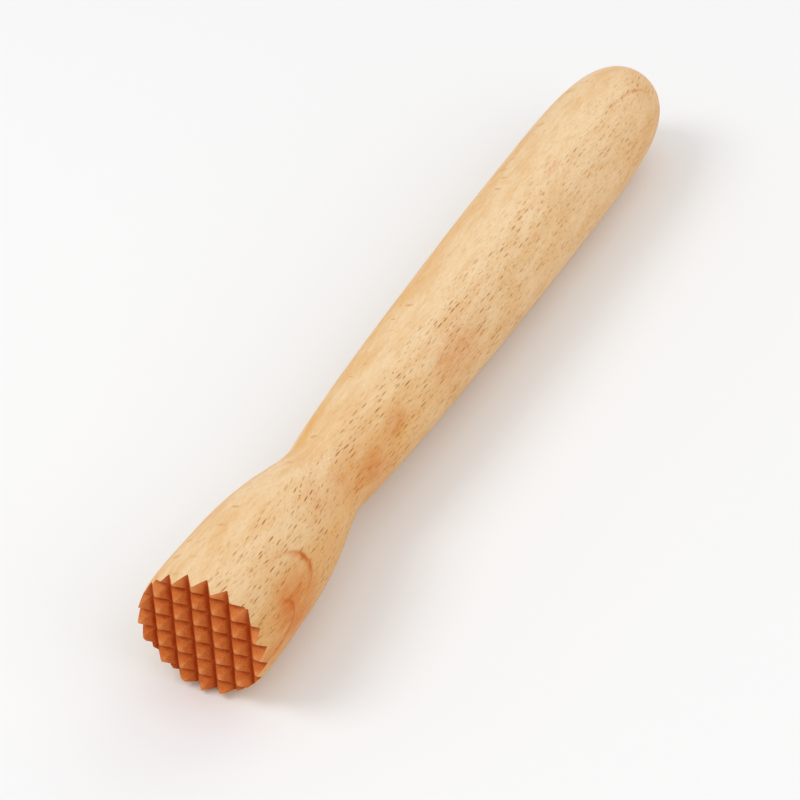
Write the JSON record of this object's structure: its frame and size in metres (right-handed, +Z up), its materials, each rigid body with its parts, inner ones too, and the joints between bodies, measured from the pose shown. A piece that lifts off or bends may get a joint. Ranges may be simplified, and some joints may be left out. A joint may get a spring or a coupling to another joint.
{
  "type": "muddler",
  "caption": "One-piece turned wooden muddler with a waisted neck, a rounded grip end and a flat face cut into a grid of pointed teeth for crushing.",
  "frame": {"origin": "on the surface it lies on, under the middle of its bounding box", "axes": "+Y along the muddler from the toothed face to the rounded grip end, +Z up"},
  "size_m": [0.028, 0.2102, 0.0281],
  "materials": {
    "beech": "sanded and lightly oiled, satin"
  },
  "bodies": {
    "root": {"muddler_body": "beech"}
  },
  "joints": []
}
